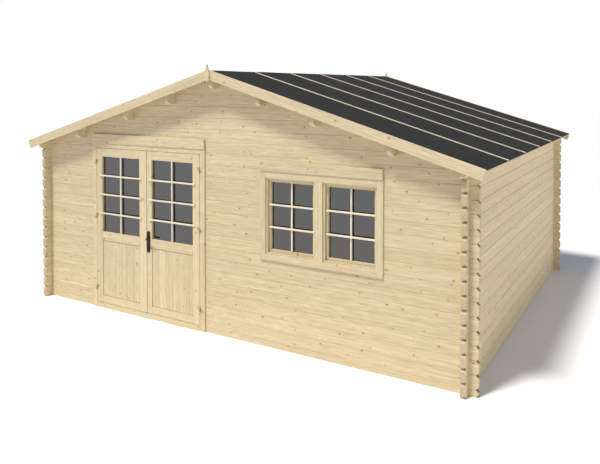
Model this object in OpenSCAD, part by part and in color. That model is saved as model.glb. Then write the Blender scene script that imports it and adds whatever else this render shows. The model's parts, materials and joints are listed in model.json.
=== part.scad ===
// Log-built garden shed: crossed log walls, a felted gable roof on purlins,
// a glazed double door and a double window. Sizes are in millimetres.
// The origin is on the ground under the middle of the plan; the front faces -Y.

/* [Log walls] */
// Outside width over the two side walls
wall_w = 4900; // [4700:10:5400]
// Outside depth over the front and back walls
wall_d = 4040; // [3000:10:5000]
// Height that one course of logs adds
log_pitch = 114; // [111:1:120]
// Thickness of the logs
log_t = 44; // [40:1:50]
// Courses in each side wall, or more where the door needs them
side_courses = 16; // [16:1:18]
// Length of the log ends past the wall that they cross
stub = 80; // [50:1:110]
// Further reach of the topmost side logs, under the verge
top_log_extra = 38; // [0:1:39]
// Chamfer at the ends of the logs
end_chamfer = 22; // [8:1:26]
// Small chamfer along the edges of the logs
edge_chamfer = 3; // [1:0.5:6]
// Width of the tongue on top of each log
tongue_w = 14; // [8:1:22]
// Height of the tongue on top of each log
tongue_h = 8; // [4:1:14]
// Clearance between one log and the next
log_gap = 0.4; // [0.3:0.1:0.8]

/* [Roof] */
// Slope of the roof in degrees
roof_pitch = 16.6; // [15:0.1:20]
// Overhang of the roof boards past the front and back walls
verge_overhang = 120; // [119:1:250]
// Overhang of the roof boards past the side walls
eave_overhang = 155; // [125:1:250]
// Thickness of the roof boards
board_t = 18; // [14:1:24]
// Thickness of the roofing felt
felt_t = 4; // [2:0.5:8]
// Number of felt strips from front to back
felt_strips = 6; // [4:1:9]
// Width of the battens that hold the felt
batten_w = 22; // [16:1:45]
// Thickness of the battens that hold the felt
batten_t = 7; // [5:1:20]
// Distance of the battens' upper ends from the ridge
batten_start = 45; // [5:1:120]
// Height of the bargeboards, square to the slope
barge_h = 90; // [70:1:120]
// Thickness of the bargeboards
barge_t = 20; // [14:1:28]
// Rise of the bargeboards above the felt
barge_rise = 3; // [0:0.5:8]
// Height of the finials
finial_h = 170; // [140:1:220]
// Width of the finials
finial_w = 52; // [36:1:70]
// Thickness of the finials
finial_t = 20; // [14:1:30]
// Height of the finials' points above the bargeboards
finial_rise = 50; // [30:1:70]

/* [Purlins] */
// Width of the purlins
purlin_w = 44; // [36:1:60]
// Depth of the purlins
purlin_h = 150; // [130:1:170]
// Distance of the upper purlins from the ridge
purlin_upper = 540; // [400:10:700]
// Distance of the middle purlins from the ridge
purlin_middle = 1110; // [900:10:1300]
// Distance of the lower purlins from the ridge
purlin_lower = 1830; // [1600:10:2000]
// Length of the chamfer under the ends of the purlins
purlin_chamfer_l = 45; // [20:1:60]
// Height of the chamfer under the ends of the purlins
purlin_chamfer_h = 28; // [15:1:60]

/* [Door] */
// Middle of the doorway, measured from the middle of the front
door_x = -922; // [-1100:2:-900]
// Width over the two closed leaves
leaf_pair_w = 1424; // [1300:2:1500]
// Shift of the meeting line from the middle of the doorway
meeting_shift = 16; // [0:1:40]
// Height of the leaves above the ground
leaf_z = 60; // [40:1:70]
// Height of the leaves
leaf_h = 1687; // [1680:1:1760]
// Thickness of the leaves
leaf_t = 40; // [36:1:44]
// Gap around and between the leaves
leaf_gap = 7; // [6:0.5:9]
// Width of the stiles on the hinge side
hinge_stile = 84; // [70:1:100]
// Width of the right leaf's stile at the meeting line
meeting_stile = 67; // [54:0.5:90]
// Height of the top rail of the leaves
top_rail = 90; // [70:1:120]
// Height of the glass in the leaves
leaf_light_h = 820; // [700:1:840]
// Height of the middle rail of the leaves
middle_rail = 93; // [80:1:140]
// Height of the bottom rail of the leaves
bottom_rail = 77; // [70:1:140]
// Thickness of the lower panels
panel_t = 18; // [12:1:22]
// Depth of the panels behind the face of the leaves
panel_recess = 5; // [4:1:14]
// Depth of the glass behind the face of the leaves
glass_recess = 24; // [16:1:28]
// Thickness of the glass
glass_t = 4; // [3:0.5:6]
// Thickness of the door jambs
jamb_t = 34; // [26:1:44]
// Height of the head of the door frame
head_h = 48; // [34:1:50]
// Depth of the door frame through the wall
frame_d = 62; // [58:1:80]
// Height of the header board over the door
door_header_h = 100; // [90:1:130]
// Thickness of the header board over the door
door_header_t = 24; // [18:1:32]
// Room left over the door frame for the logs to settle
settle_gap = 20; // [8:1:30]
// Least height from the door's header board to the roof
header_clear = 100; // [20:1:110]
// How far the stops of the door frame reach behind the leaves
stop_w = 20; // [12:1:26]

/* [Trim boards] */
// Thickness of the trim boards around the door and the window
trim_t = 16; // [12:1:20]
// Width of the trim boards beside the door
door_trim_w = 57; // [54:1:80]
// Width of the trim boards beside and under the window
window_trim_w = 57; // [50:1:70]
// Height of the trim board over the window's lights
window_top_trim = 64; // [50:1:76]

/* [Hinges and handle] */
// Radius of the hinge barrels
barrel_r = 7; // [6:0.5:9]
// Height of each half of a hinge barrel
barrel_h = 26; // [18:1:36]
// Radius of the hinge pins
hinge_pin_r = 4; // [3:0.5:5]
// Width of the hinge flaps
flap_w = 30; // [22:1:40]
// Thickness of the hinge flaps
flap_t = 2; // [1.5:0.5:3]
// Height of the lower hinges above the leaves' lower edge
hinge_low = 161; // [110:1:200]
// Height of the middle hinges above the leaves' lower edge
hinge_mid = 945; // [840:1:1040]
// Distance of the upper hinges below the leaves' upper edge
hinge_high = 149; // [107:1:247]
// Height of the handle plates
plate_h = 222; // [180:1:260]
// Width of the handle plates
plate_w = 44; // [32:1:50]
// Thickness of the handle plates
plate_t = 8; // [5:1:10]
// Height of the spindle above the ground
spindle_z = 841; // [800:1:860]
// Drop from the top of the handle plates to the spindle
spindle_drop = 77; // [60:1:110]
// Radius of the spindle
spindle_r = 5; // [4:0.5:6]
// Reach of the levers from the plates
lever_reach = 36; // [32:1:56]
// Length of the levers
lever_l = 66; // [60:1:120]
// Radius of the levers
lever_r = 8; // [6:0.5:9]
// Radius of the hubs that carry the levers
lever_hub_r = 11; // [10:0.5:13]

/* [Window] */
// Middle of the window, measured from the middle of the front
window_x = 1120; // [1000:1:1200]
// Width over the window's trim boards
window_w = 1228; // [1100:2:1300]
// Height of the window's lower edge above the ground
window_z = 815; // [740:1:840]
// Height over the window's trim boards
window_h = 824; // [760:1:850]
// Width of the middle post of the window
mullion_w = 80; // [70:1:110]
// Height of the header board over the window
window_header_h = 93; // [70:1:120]
// Thickness of the header board over the window
window_header_t = 24; // [18:1:32]
// Width of the window frame behind the trim boards
lining_t = 24; // [18:1:34]
// Width of the window frame that shows inside the trim boards
frame_border = 16; // [8:1:24]
// Depth of the window frame through the wall
window_frame_d = 78; // [76:1:110]
// Setback of the sashes behind the wall's face
sash_setback = 30; // [14:1:40]
// Depth of the sashes
sash_d = 34; // [28:1:36]
// Width of the sashes' members
sash_w = 22; // [18:1:50]
// Depth of the glass behind the face of the sashes
sash_recess = 24; // [8:1:24]

/* [Hidden] */

timber = "#E3D0A2";
timber_shade = "#D2BE92";
felt_colour = "#3F403F";
glass_colour = "#6B6A67";
brass_colour = "#C9A64B";
handle_colour = "#1B1B1C";

$fn = 32;
cut = 1;        // overshoot of the cutting shapes
seat = 0.3;     // clearance where one piece sits on or in another
pin_gap = 0.1;  // clearance of a pin or spindle in its bore

// Walls
front_y = -wall_d / 2;
side_x = wall_w / 2;
front_c = wall_d / 2 - log_t / 2;
side_c = side_x - log_t / 2;
quarter = log_pitch / 4;
notch_w = log_t + 2 * log_gap;
slope = tan(roof_pitch);

// Door
leaf_top = leaf_z + leaf_h;
face_y = front_y - trim_t;
pair_l = door_x - leaf_pair_w / 2;
pair_r = door_x + leaf_pair_w / 2;
meet_x = door_x + meeting_shift;
jamb_l = pair_l - leaf_gap;
jamb_r = pair_r + leaf_gap;
head_z = leaf_top + leaf_gap;
head_top = head_z + head_h;
doorway_l = jamb_l - jamb_t - log_gap;
doorway_r = jamb_r + jamb_t + log_gap;
doorway_top = head_top + settle_gap;
door_header_top = head_top + door_header_h;
trims_l = jamb_l - door_trim_w;
trims_r = jamb_r + door_trim_w;
stop_y = face_y + leaf_t + leaf_gap;
sill_top = leaf_z - leaf_gap;
sill_lip = leaf_z + stop_w - leaf_gap;
frame_back = front_y + frame_d;
right_stile_l = meet_x + leaf_gap / 2;
leaf_light_w = pair_r - hinge_stile - meeting_stile - right_stile_l;
left_open_x = pair_l + hinge_stile;
right_open_x = right_stile_l + meeting_stile;
leaf_light_z = leaf_top - top_rail - leaf_light_h;
leaf_panel_z = leaf_z + bottom_rail;
leaf_panel_h = leaf_light_z - middle_rail - leaf_panel_z;

// Courses: the roof clears the header board at the door's outer corner
door_rise = (side_c - max(-trims_l, trims_r)) * slope;
courses = max(side_courses, ceil((door_header_top + header_clear - door_rise) / log_pitch));
wall_h = courses * log_pitch;

// Roof: the underside meets the middle of the side walls' top
function under(x) = wall_h + (side_c - abs(x)) * slope;
ridge_z = under(0);
eave_x = side_x + eave_overhang;
verge_y = wall_d / 2 + verge_overhang;
felt_off = board_t + seat;
batten_off = felt_off + felt_t + seat;
barge_top = batten_off + barge_rise;
purlin_sides = [purlin_upper, purlin_middle, purlin_lower];
over_course = ceil(doorway_top / log_pitch - 0.5);
last_course = ceil(ridge_z / log_pitch - 0.5);

// Hinges and handle
pivot_l = pair_l - leaf_gap / 2;
pivot_r = pair_r + leaf_gap / 2;
pivot_y = face_y - barrel_r;
hinge_heights = [leaf_z + hinge_low, leaf_z + hinge_mid, leaf_top - hinge_high];
spindle_x = right_stile_l + plate_w / 2;
plate_z = spindle_z + spindle_drop - plate_h;
lever_y = [face_y - plate_t - lever_reach, face_y + leaf_t + plate_t + lever_reach];

// Window
lights_w = (window_w - 2 * window_trim_w - mullion_w) / 2;
lights_h = window_h - window_trim_w - window_top_trim;
lights_z = window_z + window_trim_w;
lights_x = [window_x - mullion_w / 2 - lights_w, window_x + mullion_w / 2];
lining_l = lights_x[0] - lining_t;
lining_w = window_w - 2 * window_trim_w + 2 * lining_t;
sash_outer_w = lights_w - 2 * frame_border;
sash_outer_h = lights_h - 2 * frame_border;
sash_z = lights_z + frame_border;
sashes_x = [for (x = lights_x) x + frame_border];
sash_y = front_y + sash_setback;
window_back = front_y + window_frame_d;

// Outline of a log seen from its end; the tongue fits the groove of the next one
function log_outline(z0, z1, tongue, groove) =
    let (h = log_t / 2, t = tongue_w / 2, g = t + log_gap, e = edge_chamfer, top = z1 - log_gap)
    concat(
        groove
            ? [[-h, z0 + e], [-h + e, z0], [-g, z0], [-g, z0 + tongue_h], [g, z0 + tongue_h], [g, z0],
               [h - e, z0], [h, z0 + e]]
            : [[-h, z0], [h, z0]],
        tongue
            ? [[h, top - e], [h - e, top], [t, top], [t, top + tongue_h], [-t, top + tongue_h], [-t, top],
               [-h + e, top], [-h, top - e]]
            : [[h, top], [-h, top]]
    );

// Straight log along X, from a to b
module log_bar(a, b, z0, z1, tongue, groove) {
    rotate([90, 0, 90])
        translate([0, 0, a])
            linear_extrude(b - a)
                polygon(log_outline(z0, z1, tongue, groove));
}

// What is cut from a log where a crossing wall passes at x; low to high is kept
module crossing_cut(x, z0, z1, low, high) {
    translate([x - notch_w / 2, -log_t, high - log_gap / 2])
        cube([notch_w, 2 * log_t, z1 - high + tongue_h + cut]);
    if (low > z0)
        translate([x - notch_w / 2, -log_t, z0 - cut])
            cube([notch_w, 2 * log_t, low - z0 + cut + log_gap / 2]);
}

// 45 degree cuts above and below the end of a log at x; side is -1 or 1
module end_cut(x, side, z0, z1) {
    over = tongue_h + cut;
    rotate([90, 0, 0])
        linear_extrude(2 * log_t, center = true) {
            polygon([
                [x - side * (end_chamfer + over), z1 + over],
                [x + side * over, z1 + over],
                [x + side * over, z1 - end_chamfer - over]
            ]);
            polygon([
                [x - side * (end_chamfer + cut), z0 - cut],
                [x + side * cut, z0 - cut],
                [x + side * cut, z0 + end_chamfer + cut]
            ]);
        }
}

// A log with notches at the crossing walls and chamfered ends
module crossed_log(a, b, z0, z1, low, high, crossings, tongue = true, left_end = true, right_end = true) {
    difference() {
        log_bar(a, b, z0, z1, tongue, z0 > 0);
        for (x = crossings)
            crossing_cut(x, z0, z1, low, high);
        if (left_end) end_cut(a, -1, z0, z1);
        if (right_end) end_cut(b, 1, z0, z1);
    }
}

// One course of the front or back wall, from a to b; course 0 is half a log
module cross_course(k, a, b, left_end = true, right_end = true) {
    z0 = max(0, (k - 0.5) * log_pitch);
    low = k == 0 ? 0 : k * log_pitch - quarter;
    crossed_log(a, b, z0, (k + 0.5) * log_pitch, low, k * log_pitch + quarter,
        [for (x = [-side_c, side_c]) if (x > a && x < b) x],
        tongue = k < last_course, left_end = left_end, right_end = right_end);
}

// Side wall; side is -1 for the left one and 1 for the right one
module side_wall(side) {
    reach = wall_d / 2 + stub;
    for (k = [0 : courses - 2])
        translate([side * side_c, 0, 0])
            rotate([0, 0, 90])
                side_course(k, reach);
    difference() {
        translate([side * side_c, 0, 0])
            rotate([0, 0, 90])
                side_course(courses - 1, reach + top_log_extra);
        roof_space();
    }
}

// One course of a side wall; the topmost one starts tall, and the roof slope trims it
module side_course(k, reach) {
    z0 = k * log_pitch;
    z1 = z0 + (k == courses - 1 ? 2 : 1) * log_pitch;
    crossed_log(-reach, reach, z0, z1, z0 + quarter, z0 + log_pitch - quarter, [-front_c, front_c]);
}

// Everything above the underside of the roof
module roof_space() {
    far = 2 * eave_x;
    rotate([90, 0, 0])
        linear_extrude(3 * wall_d, center = true)
            polygon([
                [-far, under(far) - seat], [0, ridge_z - seat], [far, under(far) - seat],
                [far, 2 * ridge_z], [-far, 2 * ridge_z]
            ]);
}

// Room for the purlins in the gable logs
module purlin_space() {
    for (x = [0, for (p = purlin_sides) each [-p, p]])
        translate([x - purlin_w / 2 - seat, -wall_d, under(x) - purlin_h - seat])
            cube([purlin_w + 2 * seat, 2 * wall_d, 2 * purlin_h]);
}

// Room for the door frame and the window frame in the front logs
module doorway_space() {
    translate([doorway_l, front_y - cut, -cut])
        cube([doorway_r - doorway_l, log_t + 2 * cut, doorway_top + cut]);
}

module window_space() {
    translate([lining_l - seat, front_y - cut, lights_z - lining_t - seat])
        cube([lining_w + 2 * seat, log_t + 2 * cut, lights_h + 2 * lining_t + 2 * seat]);
}

// Courses of a gable wall under the roof, from the first one given up to the ridge
module gable_courses(first, y) {
    reach = side_x + stub;
    difference() {
        for (k = [first : last_course])
            translate([0, y, 0])
                cross_course(k, -reach, reach, left_end = k <= courses, right_end = k <= courses);
        roof_space();
        purlin_space();
        if (y < 0) {
            doorway_space();
            window_space();
        }
    }
}

module left_wall() { color(timber) side_wall(-1); }
module right_wall() { color(timber_shade) side_wall(1); }

module back_wall() {
    color(timber)
        for (k = [0 : courses - 1])
            translate([0, front_c, 0])
                cross_course(k, -side_x - stub, side_x + stub);
}

module back_gable() { color(timber) gable_courses(courses, front_c); }

module front_wall_left() {
    color(timber)
        for (k = [0 : over_course - 1])
            translate([0, -front_c, 0])
                cross_course(k, -side_x - stub, doorway_l, right_end = false);
}

module front_wall_right() {
    color(timber)
        difference() {
            for (k = [0 : over_course - 1])
                translate([0, -front_c, 0])
                    cross_course(k, doorway_r, side_x + stub, left_end = false);
            window_space();
        }
}

module front_gable() { color(timber) gable_courses(over_course, -front_c); }

// Purlin at x, its top cut to the slope and its ends chamfered underneath
module purlin(x) {
    low = under(x) - purlin_h;
    difference() {
        rotate([90, 0, 90])
            translate([0, 0, x - purlin_w / 2])
                linear_extrude(purlin_w)
                    polygon([
                        [-verge_y + purlin_chamfer_l, low], [verge_y - purlin_chamfer_l, low],
                        [verge_y, low + purlin_chamfer_h], [verge_y, low + 2 * purlin_h],
                        [-verge_y, low + 2 * purlin_h], [-verge_y, low + purlin_chamfer_h]
                    ]);
        roof_space();
    }
}

module ridge_purlin() { color(timber_shade) purlin(0); }
module left_purlins() { color(timber_shade) for (x = purlin_sides) purlin(-x); }
module right_purlins() { color(timber_shade) for (x = purlin_sides) purlin(x); }

// Slab on one slope, from x0 beside the ridge to the eave; off is its height above the roof's underside
module slope_slab(side, off, t, y0, y1, x0 = seat / 2) {
    c = cos(roof_pitch);
    s = sin(roof_pitch);
    rotate([90, 0, 0])
        translate([0, 0, -y1])
            linear_extrude(y1 - y0)
                polygon([
                    [side * x0, under(x0) + off / c],
                    [side * (eave_x + off * s), under(eave_x) + off * c],
                    [side * (eave_x + (off + t) * s), under(eave_x) + (off + t) * c],
                    [side * x0, under(x0) + (off + t) / c]
                ]);
}

module battens(side) {
    for (i = [1 : felt_strips - 1]) {
        y = -verge_y + i * 2 * verge_y / felt_strips;
        slope_slab(side, batten_off, batten_t, y - batten_w / 2, y + batten_w / 2, batten_start);
    }
}

// Bargeboard; end is -1 at the front and 1 at the back
module bargeboard(side, end) {
    y = end * (verge_y + seat + barge_t / 2);
    slope_slab(side, barge_top - barge_h, barge_h, y - barge_t / 2, y + barge_t / 2);
}

// Pointed board over the joint of two bargeboards
module finial(end) {
    top = ridge_z + barge_top / cos(roof_pitch) + finial_rise;
    y = end * (verge_y + 2 * seat + barge_t + finial_t / 2);
    w = finial_w / 2;
    half = [[0.14, 0.88], [0.34, 0.74], [1, 0.54], [0.92, 0.44], [0.36, 0.1]];
    translate([0, y, top - finial_h])
        rotate([90, 0, 0])
            linear_extrude(finial_t, center = true)
                polygon(concat(
                    [[0, finial_h]],
                    [for (p = half) [w * p[0], finial_h * p[1]]],
                    [[0, 0]],
                    [for (i = [len(half) - 1 : -1 : 0]) [-w * half[i][0], finial_h * half[i][1]]]
                ));
}

module left_roof_boards() { color(timber) slope_slab(-1, 0, board_t, -verge_y, verge_y); }
module right_roof_boards() { color(timber) slope_slab(1, 0, board_t, -verge_y, verge_y); }
module left_felt() { color(felt_colour) slope_slab(-1, felt_off, felt_t, -verge_y, verge_y); }
module right_felt() { color(felt_colour) slope_slab(1, felt_off, felt_t, -verge_y, verge_y); }
module left_battens() { color(timber) battens(-1); }
module right_battens() { color(timber) battens(1); }
module front_left_bargeboard() { color(timber) bargeboard(-1, -1); }
module front_right_bargeboard() { color(timber) bargeboard(1, -1); }
module back_left_bargeboard() { color(timber) bargeboard(-1, 1); }
module back_right_bargeboard() { color(timber) bargeboard(1, 1); }
module front_finial() { color(timber) finial(-1); }
module back_finial() { color(timber) finial(1); }

// Box between two corners
module block(low, high) {
    translate(low)
        cube(high - low);
}

// Door jamb whose inner face is at x, with the stop that the leaf closes towards
module door_jamb(x, side) {
    x1 = x + side * jamb_t;
    stop_x = x - side * stop_w;
    block([min(x, x1), front_y, 0], [max(x, x1), frame_back, head_top]);
    block([min(x, stop_x), stop_y, sill_lip + seat], [max(x, stop_x), frame_back, head_z - stop_w - seat]);
}

module left_door_jamb() { color(timber) door_jamb(jamb_l, -1); }
module right_door_jamb() { color(timber) door_jamb(jamb_r, 1); }

module door_head() {
    color(timber) {
        block([jamb_l + seat, face_y, head_z], [jamb_r - seat, frame_back, head_top]);
        block([jamb_l + seat, stop_y, head_z - stop_w], [jamb_r - seat, frame_back, head_z]);
    }
}

module door_threshold() {
    color(timber) {
        block([jamb_l + seat, face_y, 0], [jamb_r - seat, frame_back, sill_top]);
        block([jamb_l + seat, stop_y, sill_top], [jamb_r - seat, frame_back, sill_lip]);
    }
}

module door_trims() {
    color(timber) {
        block([trims_l, face_y, 0], [jamb_l, front_y - seat, head_top]);
        block([jamb_r, face_y, 0], [trims_r, front_y - seat, head_top]);
    }
}

module door_header_board() {
    color(timber)
        block([trims_l, front_y - door_header_t, head_top + seat],
            [trims_r, front_y - seat, door_header_top]);
}

// Frame of a door leaf from x0 to x1, with its light and its panel opening starting at open_x
module leaf_frame(x0, x1, open_x) {
    difference() {
        block([x0, face_y, leaf_z], [x1, face_y + leaf_t, leaf_top]);
        leaf_hole(open_x, leaf_light_z, leaf_light_h, 0, face_y - cut, face_y + leaf_t + cut);
        leaf_hole(open_x, leaf_panel_z, leaf_panel_h, 0, face_y - cut, face_y + leaf_t + cut);
    }
}

// Opening in a leaf, or what fills it with a clearance all round
module leaf_hole(x, z, h, clear, y0, y1) {
    block([x + clear, y0, z + clear], [x + leaf_light_w - clear, y1, z + h - clear]);
}

module leaf_panel(open_x) {
    y = face_y + panel_recess;
    leaf_hole(open_x, leaf_panel_z, leaf_panel_h, seat, y, y + panel_t);
}

module leaf_glass(open_x) {
    y = face_y + glass_recess;
    leaf_hole(open_x, leaf_light_z, leaf_light_h, seat, y, y + glass_t);
}

module left_leaf_frame() { color(timber) leaf_frame(pair_l, meet_x - leaf_gap / 2, left_open_x); }
module left_leaf_panel() { color(timber) leaf_panel(left_open_x); }
module left_leaf_glass() { color(glass_colour) leaf_glass(left_open_x); }

module right_leaf_frame() {
    color(timber)
        difference() {
            leaf_frame(right_stile_l, pair_r, right_open_x);
            translate([spindle_x, face_y - cut, spindle_z])
                rotate([-90, 0, 0])
                    cylinder(r = spindle_r + cut, h = leaf_t + 2 * cut);
        }
}

module right_leaf_panel() { color(timber) leaf_panel(right_open_x); }
module right_leaf_glass() { color(glass_colour) leaf_glass(right_open_x); }

// Lower halves of the hinges with their pins, on the trim beside the leaf
module frame_hinges(x, side) {
    for (z = hinge_heights) {
        translate([x, pivot_y, z - barrel_h])
            cylinder(r = barrel_r, h = barrel_h);
        translate([x, pivot_y, z - barrel_h])
            cylinder(r = hinge_pin_r, h = 2 * barrel_h - flap_t);
        hinge_flap(x, side, z - barrel_h);
    }
}

// Upper halves of the hinges, on the leaf, bored for the pins
module leaf_hinges(x, side) {
    for (z = hinge_heights)
        difference() {
            union() {
                translate([x, pivot_y, z + seat])
                    cylinder(r = barrel_r, h = barrel_h - seat);
                hinge_flap(x, side, z + seat);
            }
            translate([x, pivot_y, z - cut])
                cylinder(r = hinge_pin_r + pin_gap, h = barrel_h - flap_t + cut + pin_gap);
        }
}

// Flat flap that lies on the timber, from the barrel towards side
module hinge_flap(x, side, z) {
    far = x + side * flap_w;
    block([min(x, far), face_y - seat - flap_t, z], [max(x, far), face_y - seat, z + barrel_h - seat]);
}

module left_frame_hinges() { color(brass_colour) frame_hinges(pivot_l, -1); }
module right_frame_hinges() { color(brass_colour) frame_hinges(pivot_r, 1); }
module left_leaf_hinges() { color(brass_colour) leaf_hinges(pivot_l, 1); }
module right_leaf_hinges() { color(brass_colour) leaf_hinges(pivot_r, -1); }

// Plate with round ends whose back lies at y, bored for the spindle
module handle_plate(y) {
    r = plate_w / 2;
    difference() {
        translate([spindle_x, y, plate_z])
            rotate([-90, 0, 0])
                union() {
                    for (z = [r, plate_h - r])
                        translate([0, -z, 0])
                            cylinder(r = r, h = plate_t);
                    translate([-r, r - plate_h, 0])
                        cube([plate_w, plate_h - 2 * r, plate_t]);
                }
        translate([spindle_x, y - cut, spindle_z])
            rotate([-90, 0, 0])
                cylinder(r = spindle_r + pin_gap, h = plate_t + 2 * cut);
    }
}

module handle_plates() {
    color(handle_colour) {
        handle_plate(face_y - plate_t - seat);
        handle_plate(face_y + leaf_t + seat);
    }
}

// Outside and inside levers on one spindle; both point away from the meeting line
module handle_levers() {
    color(handle_colour) {
        translate([spindle_x, lever_y[0], spindle_z])
            rotate([-90, 0, 0])
                cylinder(r = spindle_r, h = lever_y[1] - lever_y[0]);
        for (y = lever_y)
            translate([spindle_x, y, spindle_z])
                lever();
        translate([spindle_x, lever_y[0], spindle_z])
            rotate([-90, 0, 0])
                cylinder(r = lever_hub_r, h = lever_reach - 2 * seat);
        translate([spindle_x, lever_y[1] - lever_reach + 2 * seat, spindle_z])
            rotate([-90, 0, 0])
                cylinder(r = lever_hub_r, h = lever_reach - 2 * seat);
    }
}

// Round lever with a ball end
module lever() {
    rotate([0, 90, 0])
        cylinder(r = lever_r, h = lever_l - lever_r);
    sphere(r = lever_hub_r);
    translate([lever_l - lever_r, 0, 0])
        sphere(r = lever_r);
}

module window_frame() {
    color(timber)
        difference() {
            block([lining_l, front_y, lights_z - lining_t],
                [lining_l + lining_w, window_back, lights_z + lights_h + lining_t]);
            for (x = sashes_x)
                sash_block(x, 0, front_y - cut, window_back + cut);
        }
}

// Flat boards around the two lights, with a hair's breadth between them
module window_trims() {
    l = window_x - window_w / 2;
    r = window_x + window_w / 2;
    top = window_z + window_h;
    post = window_x - mullion_w / 2;
    inner_top = lights_z + lights_h;
    color(timber) {
        window_board(l, l + window_trim_w, window_z, top);
        window_board(r - window_trim_w, r, window_z, top);
        window_board(l + window_trim_w + seat, r - window_trim_w - seat, window_z, lights_z);
        window_board(l + window_trim_w + seat, r - window_trim_w - seat, inner_top, top);
        window_board(post, post + mullion_w, lights_z + seat, inner_top - seat);
    }
}

module window_board(x0, x1, z0, z1) {
    block([x0, face_y, z0], [x1, front_y - seat, z1]);
}

module window_header_board() {
    z = window_z + window_h + seat;
    color(timber)
        block([window_x - window_w / 2, front_y - window_header_t, z],
            [window_x + window_w / 2, front_y - seat, z + window_header_h]);
}

module window_sashes() {
    color(timber)
        for (x = sashes_x)
            difference() {
                sash_block(x, seat, sash_y, sash_y + sash_d);
                sash_block(x, sash_w, sash_y - cut, sash_y + sash_d + cut);
            }
}

module window_glass() {
    y = sash_y + sash_recess;
    color(glass_colour)
        for (x = sashes_x)
            sash_block(x, sash_w + seat, y, y + glass_t);
}

// Box as large as a sash that starts at x, less a margin all round
module sash_block(x, margin, y0, y1) {
    block([x + margin, y0, sash_z + margin],
        [x + sash_outer_w - margin, y1, sash_z + sash_outer_h - margin]);
}

left_wall();
right_wall();
back_wall();
back_gable();
front_wall_left();
front_wall_right();
front_gable();
ridge_purlin();
left_purlins();
right_purlins();
left_roof_boards();
right_roof_boards();
left_felt();
right_felt();
left_battens();
right_battens();
front_left_bargeboard();
front_right_bargeboard();
back_left_bargeboard();
back_right_bargeboard();
front_finial();
back_finial();
left_door_jamb();
right_door_jamb();
door_head();
door_threshold();
door_trims();
door_header_board();
left_frame_hinges();
right_frame_hinges();
left_leaf_frame();
left_leaf_panel();
left_leaf_glass();
left_leaf_hinges();
right_leaf_frame();
right_leaf_panel();
right_leaf_glass();
right_leaf_hinges();
handle_plates();
handle_levers();
window_frame();
window_trims();
window_header_board();
window_sashes();
window_glass();
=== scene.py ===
import bmesh
import bpy
import json
import math
import numpy as np
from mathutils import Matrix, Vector


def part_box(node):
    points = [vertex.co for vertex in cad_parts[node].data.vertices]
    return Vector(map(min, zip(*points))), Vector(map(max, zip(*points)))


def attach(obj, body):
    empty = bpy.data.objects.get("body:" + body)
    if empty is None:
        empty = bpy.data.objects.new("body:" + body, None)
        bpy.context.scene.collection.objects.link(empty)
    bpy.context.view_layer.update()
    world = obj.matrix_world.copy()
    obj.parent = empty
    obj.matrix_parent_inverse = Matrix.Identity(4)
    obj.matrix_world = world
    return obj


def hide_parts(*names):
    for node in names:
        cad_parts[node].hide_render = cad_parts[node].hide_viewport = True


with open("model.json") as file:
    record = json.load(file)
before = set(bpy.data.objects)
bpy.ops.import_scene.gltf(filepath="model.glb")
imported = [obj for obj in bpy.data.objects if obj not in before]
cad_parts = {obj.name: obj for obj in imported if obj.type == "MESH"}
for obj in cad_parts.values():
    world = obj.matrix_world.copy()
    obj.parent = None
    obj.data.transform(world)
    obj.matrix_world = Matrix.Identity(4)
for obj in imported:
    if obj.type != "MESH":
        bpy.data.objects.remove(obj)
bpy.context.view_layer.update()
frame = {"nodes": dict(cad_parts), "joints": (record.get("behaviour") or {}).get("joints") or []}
nodes = frame["nodes"]
pivots = {joint["name"]: joint["pos_m"] for joint in frame["joints"]}
print("frame loaded,", len(nodes), "nodes")

# the camera stands at the right of the front, a little under the ridge
cameraView = dict(lens=38.726, shift=-0.215, at=(3.8285, -6.988, 2.4215), turn=30.286, tilt=1.513)

lens = bpy.data.cameras.new("camera")
lens.lens = cameraView["lens"]
lens.sensor_width = 36.0
lens.shift_y = cameraView["shift"]
camera = bpy.data.objects.new("camera", lens)
camera.location = cameraView["at"]
camera.rotation_euler = (math.radians(90 - cameraView["tilt"]), 0, math.radians(cameraView["turn"]))
bpy.context.scene.collection.objects.link(camera)
bpy.context.scene.camera = camera
bpy.context.scene.view_settings.view_transform = "Standard"
print("camera placed")


class Sock:
    # a socket of a node tree; arithmetic on it adds Math nodes
    def __init__(self, finish, socket):
        self.finish = finish
        self.socket = socket

    def out(self, name):
        return Sock(self.finish, self.socket.node.outputs[name])

    def maths(self, operation, first, second=0.0):
        return self.finish.node("ShaderNodeMath", {"operation": operation}, {0: first, 1: second})

    def floor(self):
        return self.maths("FLOOR", self)

    def root(self):
        return self.maths("SQRT", self)

    def size(self):
        return self.maths("ABSOLUTE", self)

    def under(self, limit):
        return self.maths("LESS_THAN", self, limit)

    def least(self, limit):
        return self.maths("MINIMUM", self, limit)

    def ramp(self, low, high):
        # 0 at low, 1 at high, eased in between; low may be the larger one
        ends = {"Value": self, "From Min": low, "From Max": high}
        return self.finish.node("ShaderNodeMapRange", {"interpolation_type": "SMOOTHSTEP"}, ends)

    def __add__(self, other):
        return self.maths("ADD", self, other)

    def __radd__(self, other):
        return self.maths("ADD", other, self)

    def __sub__(self, other):
        return self.maths("SUBTRACT", self, other)

    def __rsub__(self, other):
        return self.maths("SUBTRACT", other, self)

    def __mul__(self, other):
        return self.maths("MULTIPLY", self, other)

    def __rmul__(self, other):
        return self.maths("MULTIPLY", other, self)

    def __truediv__(self, other):
        return self.maths("DIVIDE", self, other)


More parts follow.
